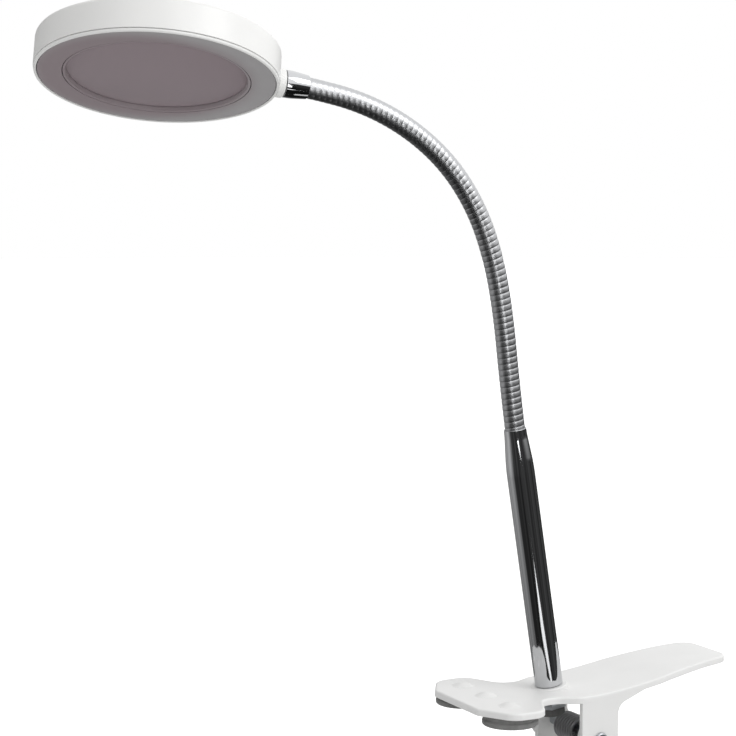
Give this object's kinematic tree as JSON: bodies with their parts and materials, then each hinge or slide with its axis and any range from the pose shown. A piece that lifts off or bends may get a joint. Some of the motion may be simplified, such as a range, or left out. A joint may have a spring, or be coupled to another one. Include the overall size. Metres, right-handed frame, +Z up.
{
  "type": "clip-on magnifying lamp",
  "caption": "Clip-on magnifying lamp: round lens head with a ring light on a bendable chrome neck, held by a spring clip.",
  "frame": {"origin": "midway between the two upper grip pads, on their contact plane, where the gripped board's top face lies", "axes": "+X along the clip from the jaws to the handles, +Y across the clip, +Z up from the gripped board towards the tube"},
  "size_m": [0.3488, 0.1248, 0.3894],
  "materials": {
    "white_clip_plastic": "satin moulded plastic",
    "white_abs": "satin white ABS",
    "chrome": "bright chrome plate",
    "zinc_steel": "zinc plated",
    "spring_steel": "drawn spring wire",
    "grey_rubber": "matt",
    "frosted_acrylic": "frosted acrylic",
    "clear_lens": "polished",
    "circuit_board": "white solder mask with LEDs",
    "cable_sheath": "PVC sheath"
  },
  "bodies": {
    "clip_and_tube": {"upper_lever": "white_clip_plastic", "upper_pad_left": "grey_rubber", "upper_pad_right": "grey_rubber", "pivot_pin": "zinc_steel", "pin_clip": "zinc_steel", "torsion_spring": "spring_steel", "chrome_tube": "chrome", "stem_washer": "zinc_steel", "stem_nut": "zinc_steel", "cord_gland": "grey_rubber", "lead_in_tube": "cable_sheath"},
    "lower_jaw": {"lower_lever": "white_clip_plastic", "lower_pad_left": "grey_rubber", "lower_pad_right": "grey_rubber"},
    "neck_link_1": {"neck_segment_1": "chrome"},
    "neck_link_2": {"neck_segment_2": "chrome"},
    "neck_link_3": {"neck_segment_3": "chrome"},
    "neck_link_4": {"neck_segment_4": "chrome"},
    "neck_link_5": {"neck_segment_5": "chrome"},
    "neck_link_6": {"neck_segment_6": "chrome"},
    "neck_link_7": {"neck_segment_7": "chrome"},
    "neck_link_8": {"neck_segment_8": "chrome"},
    "magnifier_head": {"neck_ferrule": "chrome", "neck_collar": "white_abs", "lead_in_head": "cable_sheath", "head_housing": "white_abs", "bezel_ring": "white_abs", "diffuser_ring": "frosted_acrylic", "led_board": "circuit_board", "lens": "clear_lens", "lens_gasket": "grey_rubber", "lens_retainer": "white_abs", "cover_hinge_pin": "zinc_steel"},
    "cover": {"lens_cover": "white_abs"}
  },
  "joints": [
    {"name": "clamp_pivot", "type": "hinge", "parent": "clip_and_tube", "child": "lower_jaw", "pos_m": [0.0508, 0, -0.0135], "axis": [0, -1, 0], "range_deg": [-23, 28], "stiffness_Nm_per_rad": 1, "springref_deg": -68.75, "deforming": ["torsion_spring"]},
    {"name": "neck_bend_1", "type": "hinge", "parent": "clip_and_tube", "child": "neck_link_1", "pos_m": [0.01505, 0, 0.1421], "axis": [-0.1685, -0.9857, 0], "range_deg": [-22, 30]},
    {"name": "neck_bend_2", "type": "hinge", "parent": "neck_link_1", "child": "neck_link_2", "pos_m": [0.01184, 0.00055, 0.16865], "axis": [-0.9803, 0.1676, -0.1045], "range_deg": [-22, 22]},
    {"name": "neck_bend_3", "type": "hinge", "parent": "neck_link_2", "child": "neck_link_3", "pos_m": [0.00908, 0.00102, 0.19526], "axis": [-0.1685, -0.9857, 0], "range_deg": [-28, 26]},
    {"name": "neck_bend_4", "type": "hinge", "parent": "neck_link_3", "child": "neck_link_4", "pos_m": [0.0045, 0.0018, 0.2216], "axis": [-0.932, 0.1593, -0.3256], "range_deg": [-22, 22]},
    {"name": "neck_bend_5", "type": "hinge", "parent": "neck_link_4", "child": "neck_link_5", "pos_m": [-0.00408, 0.00327, 0.24689], "axis": [-0.1685, -0.9857, 0], "range_deg": [-38, 16]},
    {"name": "neck_bend_6", "type": "hinge", "parent": "neck_link_5", "child": "neck_link_6", "pos_m": [-0.01844, 0.00573, 0.26933], "axis": [-0.6467, 0.1105, -0.7547], "range_deg": [-22, 22]},
    {"name": "neck_bend_7", "type": "hinge", "parent": "neck_link_6", "child": "neck_link_7", "pos_m": [-0.03834, 0.00913, 0.28687], "axis": [-0.1685, -0.9857, 0], "range_deg": [-38, 16]},
    {"name": "neck_bend_8", "type": "hinge", "parent": "neck_link_7", "child": "neck_link_8", "pos_m": [-0.06184, 0.01314, 0.29902], "axis": [-0.2385, 0.0408, -0.9703], "range_deg": [-22, 22]},
    {"name": "neck_bend_9", "type": "hinge", "parent": "neck_link_8", "child": "magnifier_head", "pos_m": [-0.08742, 0.01752, 0.30549], "axis": [-0.1685, -0.9857, 0], "range_deg": [-29, 25]},
    {"name": "cover_hinge", "type": "hinge", "parent": "magnifier_head", "child": "cover", "pos_m": [-0.1062, 0.02289, 0.31483], "axis": [0.1118, 0.9418, -0.3169], "range_deg": [0, 100]}
  ]
}
